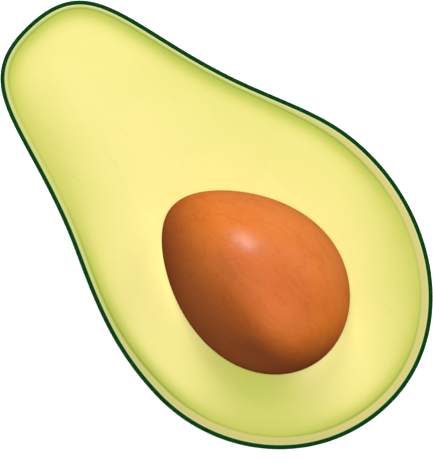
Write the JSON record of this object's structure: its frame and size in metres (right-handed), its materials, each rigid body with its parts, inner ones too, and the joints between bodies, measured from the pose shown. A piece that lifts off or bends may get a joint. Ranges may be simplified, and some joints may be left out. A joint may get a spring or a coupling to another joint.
{
  "type": "avocado half",
  "caption": "Lengthways half of a pear-shaped avocado lying on its skin: thin dark green skin, pale yellow flesh with a flat cut face, and the brown egg-shaped stone in its hollow.",
  "frame": {"origin": "at the level of the flat resting spot, under the middle of the length and width", "axes": "+X from the neck to the fat end along the length, +Z square out of the cut face, +Y to the fuller-shouldered cheek"},
  "size_m": [0.118, 0.0724, 0.0526],
  "materials": {
    "skin": "smooth dark green rind with a dull shine, fine pebbling and small pale specks",
    "flesh": "moist buttery cut flesh, pale yellow in the middle and green towards the skin",
    "stone": "smooth orange-brown seed coat with fine veins and a soft shine"
  },
  "bodies": {
    "root": {"skin": "skin", "flesh": "flesh", "stone": "stone"}
  },
  "joints": []
}
